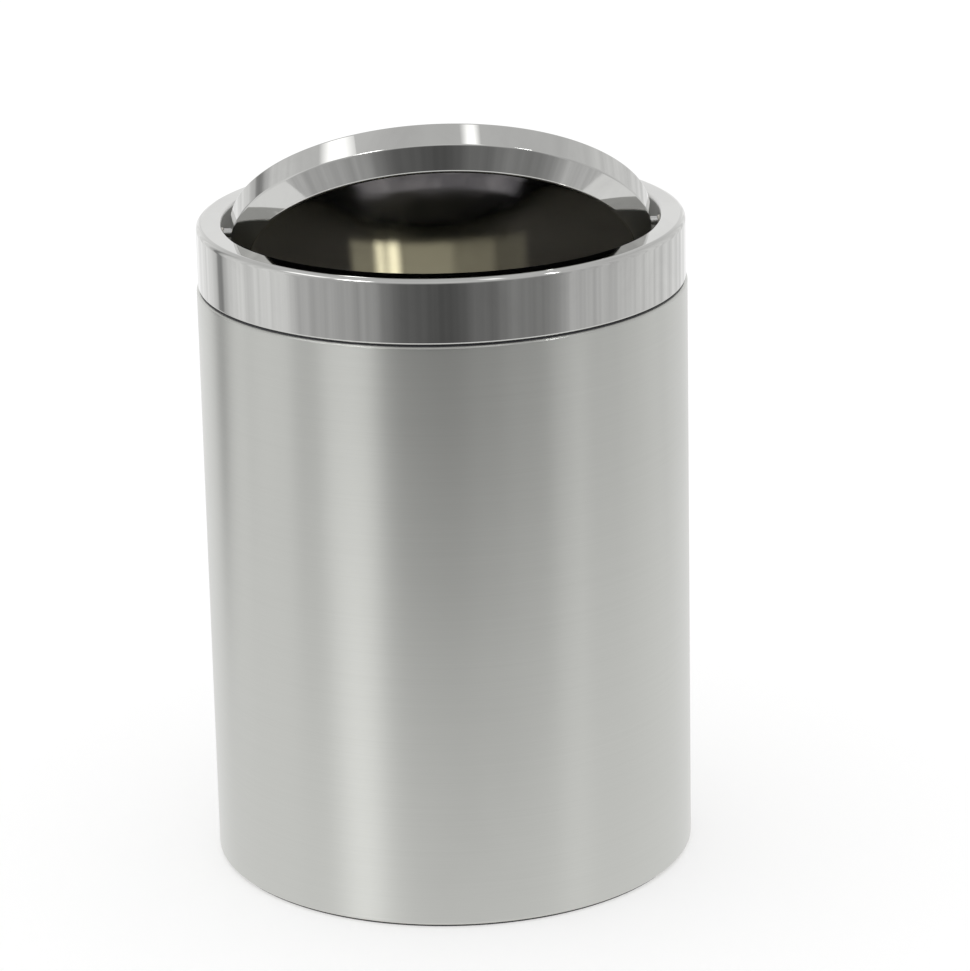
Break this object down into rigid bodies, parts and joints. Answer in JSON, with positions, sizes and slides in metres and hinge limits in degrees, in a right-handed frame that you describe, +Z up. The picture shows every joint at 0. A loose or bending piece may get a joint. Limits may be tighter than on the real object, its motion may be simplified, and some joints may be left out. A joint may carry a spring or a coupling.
{
  "type": "swing-top trash can",
  "caption": "Round free-standing bin: a brushed steel tube on a foot ring, with a lift-off polished collar and a dish-shaped lid that swings in it on side pins.",
  "frame": {"origin": "on the floor, at the centre of the round foot", "axes": "+Z up along the bin's axis, +X to the right along the lid's pivot axis, -Y towards the front"},
  "size_m": [0.2, 0.2, 0.3237],
  "materials": {
    "brushed_body": "fine circumferential brushing",
    "polished_steel": "mirror polish",
    "pivot_steel": "bright turned",
    "bush_plastic": "natural acetal",
    "black_plastic": "fine matt moulding"
  },
  "bodies": {
    "can": {"body_shell": "brushed_body", "base_pan": "black_plastic", "foot_ring": "black_plastic"},
    "swing_top": {"collar_shell": "polished_steel", "locating_ring": "black_plastic", "pivot_bush_left": "bush_plastic", "pivot_bush_right": "bush_plastic"},
    "lid": {"lid_dish": "polished_steel", "pivot_pin_left": "pivot_steel", "pivot_pin_right": "pivot_steel", "pivot_nut_left": "pivot_steel", "pivot_nut_right": "pivot_steel", "pivot_clip_left": "pivot_steel", "pivot_clip_right": "pivot_steel"}
  },
  "joints": [
    {"name": "top_lift", "type": "slide", "parent": "can", "child": "swing_top", "axis": [0, 0, 1], "range_m": [0, 0.12]},
    {"name": "lid_swing", "type": "hinge", "parent": "swing_top", "child": "lid", "pos_m": [0, 0, 0.2659], "axis": [1, 0, 0], "continuous": true}
  ]
}
